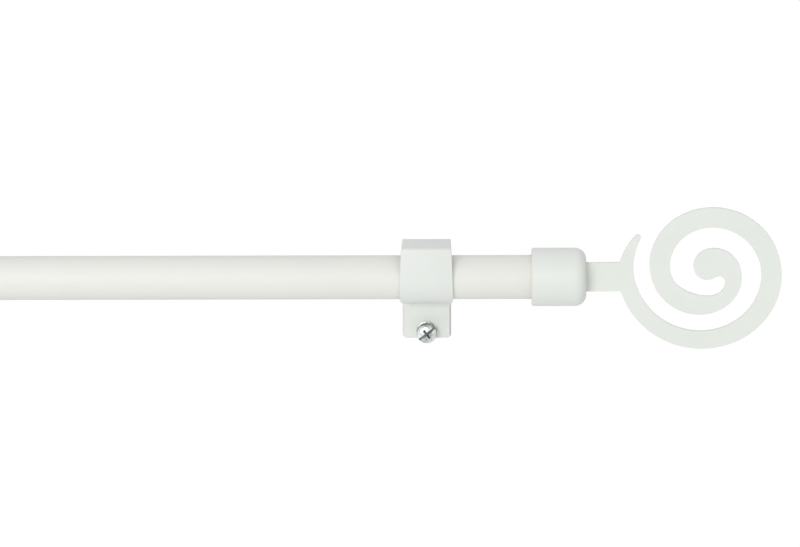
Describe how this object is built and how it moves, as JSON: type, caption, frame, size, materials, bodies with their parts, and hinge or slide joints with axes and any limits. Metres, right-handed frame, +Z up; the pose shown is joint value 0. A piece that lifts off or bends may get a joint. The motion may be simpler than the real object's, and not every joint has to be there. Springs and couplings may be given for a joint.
{
  "type": "extendable curtain rod",
  "caption": "Extendable curtain rod: telescoping tubes with flat spiral finials, held by strap brackets with clamp screws and wall arms.",
  "frame": {"origin": "on the wall, midway between the two screw holes of the right bracket's wall plate", "axes": "+X along the rod to the right, +Y into the wall, +Z up"},
  "size_m": [0.886, 0.0826, 0.0697],
  "materials": {
    "tube_coat": "satin white powder coat",
    "finial_coat": "satin white powder coat",
    "bracket_coat": "satin white powder coat",
    "liner_plastic": "moulded",
    "zinc_plate": "bright zinc"
  },
  "bodies": {
    "right_bracket": {"right_wall_arm": "bracket_coat", "right_strap": "bracket_coat", "right_clamp_nut": "zinc_plate"},
    "outer_rod": {"outer_tube": "tube_coat"},
    "inner_rod": {"inner_tube": "tube_coat"},
    "left_bracket": {"left_wall_arm": "bracket_coat", "left_strap": "bracket_coat", "left_clamp_nut": "zinc_plate"},
    "right_finial": {"right_cap": "finial_coat", "right_liner": "liner_plastic", "right_spiral": "finial_coat"},
    "left_finial": {"left_cap": "finial_coat", "left_liner": "liner_plastic", "left_spiral": "finial_coat"},
    "right_washer": {"right_clamp_washer": "zinc_plate"},
    "right_screw": {"right_clamp_screw": "zinc_plate"},
    "left_washer": {"left_clamp_washer": "zinc_plate"},
    "left_screw": {"left_clamp_screw": "zinc_plate"}
  },
  "joints": [
    {"name": "rod_shift", "type": "slide", "parent": "right_bracket", "child": "outer_rod", "axis": [1, 0, 0], "range_m": [-0.033, 0.4]},
    {"name": "rod_extend", "type": "slide", "parent": "outer_rod", "child": "inner_rod", "axis": [-1, 0, 0], "range_m": [0, 0.5]},
    {"name": "left_bracket_shift", "type": "slide", "parent": "inner_rod", "child": "left_bracket", "axis": [1, 0, 0], "range_m": [-0.033, 0.0175]},
    {"name": "right_finial_pull", "type": "slide", "parent": "outer_rod", "child": "right_finial", "axis": [1, 0, 0], "range_m": [0, 0.02]},
    {"name": "left_finial_pull", "type": "slide", "parent": "inner_rod", "child": "left_finial", "axis": [-1, 0, 0], "range_m": [0, 0.02]},
    {"name": "right_washer_out", "type": "slide", "parent": "right_bracket", "child": "right_washer", "axis": [0, -1, 0], "range_m": [0, 0.0028]},
    {"name": "right_screw_turn", "type": "hinge", "parent": "right_washer", "child": "right_screw", "pos_m": [0, -0.06, 0.0014], "axis": [0, -1, 0], "range_deg": [0, 1441]},
    {"name": "left_washer_out", "type": "slide", "parent": "left_bracket", "child": "left_washer", "axis": [0, -1, 0], "range_m": [0, 0.0028]},
    {"name": "left_screw_turn", "type": "hinge", "parent": "left_washer", "child": "left_screw", "pos_m": [-0.58, -0.06, 0.0029], "axis": [0, -1, 0], "range_deg": [0, 1441]}
  ],
  "couplings": [
    {"joint": "right_screw_turn", "follows": "right_washer_out", "rad_per_m": 8976},
    {"joint": "left_screw_turn", "follows": "left_washer_out", "rad_per_m": 8976}
  ]
}
